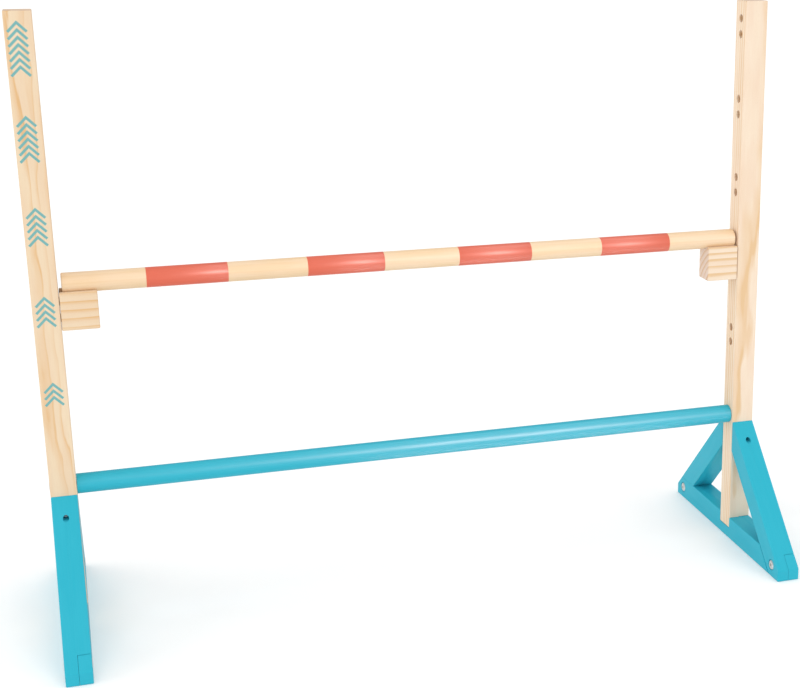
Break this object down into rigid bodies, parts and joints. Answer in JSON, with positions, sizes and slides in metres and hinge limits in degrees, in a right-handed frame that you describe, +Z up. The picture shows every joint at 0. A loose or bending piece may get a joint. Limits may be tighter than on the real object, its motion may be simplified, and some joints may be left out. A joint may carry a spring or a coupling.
{
  "type": "adjustable jump hurdle",
  "caption": "Wooden jump hurdle: square posts on triangular feet, a fixed lower rail, and a loose striped crossbar resting on plug-in holder blocks at an adjustable height.",
  "frame": {"origin": "on the floor, midway between the posts, at the centre of the object's footprint", "axes": "+X to the right along the crossbar, +Y from front to back, +Z up"},
  "size_m": [0.9096, 0.34, 0.729],
  "materials": {
    "pine": "sanded pine, clear matt lacquer",
    "beech_dowel": "plain dowel",
    "varnished_bar": "varnished wood with coral painted bands",
    "turquoise_paint": "satin gloss paint on wood",
    "zinc_steel": "zinc plated",
    "insert_brass": "plain"
  },
  "bodies": {
    "stands_and_rail": {"left_post": "pine", "right_post": "pine", "left_base_bar": "turquoise_paint", "right_base_bar": "turquoise_paint", "lower_rail": "turquoise_paint", "left_front_leg": "turquoise_paint", "left_rear_leg": "turquoise_paint", "right_front_leg": "turquoise_paint", "right_rear_leg": "turquoise_paint", "left_front_corner_bolt": "zinc_steel", "left_rear_corner_bolt": "zinc_steel", "right_front_corner_bolt": "zinc_steel", "right_rear_corner_bolt": "zinc_steel", "left_front_corner_nut": "zinc_steel", "left_rear_corner_nut": "zinc_steel", "right_front_corner_nut": "zinc_steel", "right_rear_corner_nut": "zinc_steel", "left_apex_bolt": "zinc_steel", "right_apex_bolt": "zinc_steel", "left_apex_nut": "zinc_steel", "right_apex_nut": "zinc_steel", "left_rail_bolt": "zinc_steel", "right_rail_bolt": "zinc_steel", "left_rail_insert": "insert_brass", "right_rail_insert": "insert_brass"},
    "crossbar": {"crossbar": "varnished_bar"},
    "left_holder": {"left_bar_holder": "pine", "left_upper_peg": "beech_dowel", "left_lower_peg": "beech_dowel"},
    "right_holder": {"right_bar_holder": "pine", "right_upper_peg": "beech_dowel", "right_lower_peg": "beech_dowel"}
  },
  "joints": [
    {"name": "crossbar_lift", "type": "slide", "parent": "stands_and_rail", "child": "crossbar", "axis": [0, 0, 1], "range_m": [0, 0.33]},
    {"name": "left_holder_pull", "type": "slide", "parent": "stands_and_rail", "child": "left_holder", "axis": [1, 0, 0], "range_m": [0, 0.025]},
    {"name": "right_holder_pull", "type": "slide", "parent": "stands_and_rail", "child": "right_holder", "axis": [-1, 0, 0], "range_m": [0, 0.025]}
  ]
}
